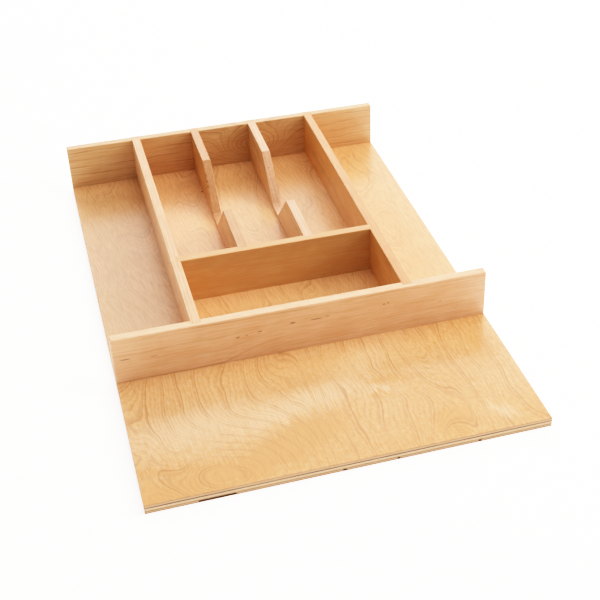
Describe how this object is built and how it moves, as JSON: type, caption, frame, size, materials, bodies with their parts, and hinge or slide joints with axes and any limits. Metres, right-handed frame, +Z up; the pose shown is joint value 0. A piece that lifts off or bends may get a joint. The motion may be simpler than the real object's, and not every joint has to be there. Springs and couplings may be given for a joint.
{
  "type": "drawer organizer insert",
  "caption": "Wooden drawer insert: plywood base with a front apron, hardwood rails and dividers forming open side bays, a front box and long slots with finger notches.",
  "frame": {"origin": "middle of the underside, on the surface that the insert rests on", "axes": "+X to the right as seen from the front apron, +Y from the apron to the back rail, +Z up"},
  "size_m": [0.3714, 0.5588, 0.0603],
  "materials": {
    "maple": "clear satin lacquer",
    "birch_face": "clear satin lacquer",
    "birch_crossband": "sawn and sanded edge under clear lacquer",
    "birch_inner": "sawn and sanded end grain under clear lacquer",
    "brad_steel": "galvanized"
  },
  "bodies": {
    "root": {"back_rail": "maple", "brads": "brad_steel", "cross_divider": "maple", "front_rail": "maple", "long_divider_left": "maple", "long_divider_right": "maple", "notched_divider_left": "maple", "notched_divider_right": "maple", "ply_1_bottom_face": "birch_face", "ply_2_crossband": "birch_crossband", "ply_3_inner": "birch_inner", "ply_4_centre": "birch_crossband", "ply_5_inner": "birch_inner", "ply_6_crossband": "birch_crossband", "ply_7_top_face": "birch_face"}
  },
  "joints": []
}
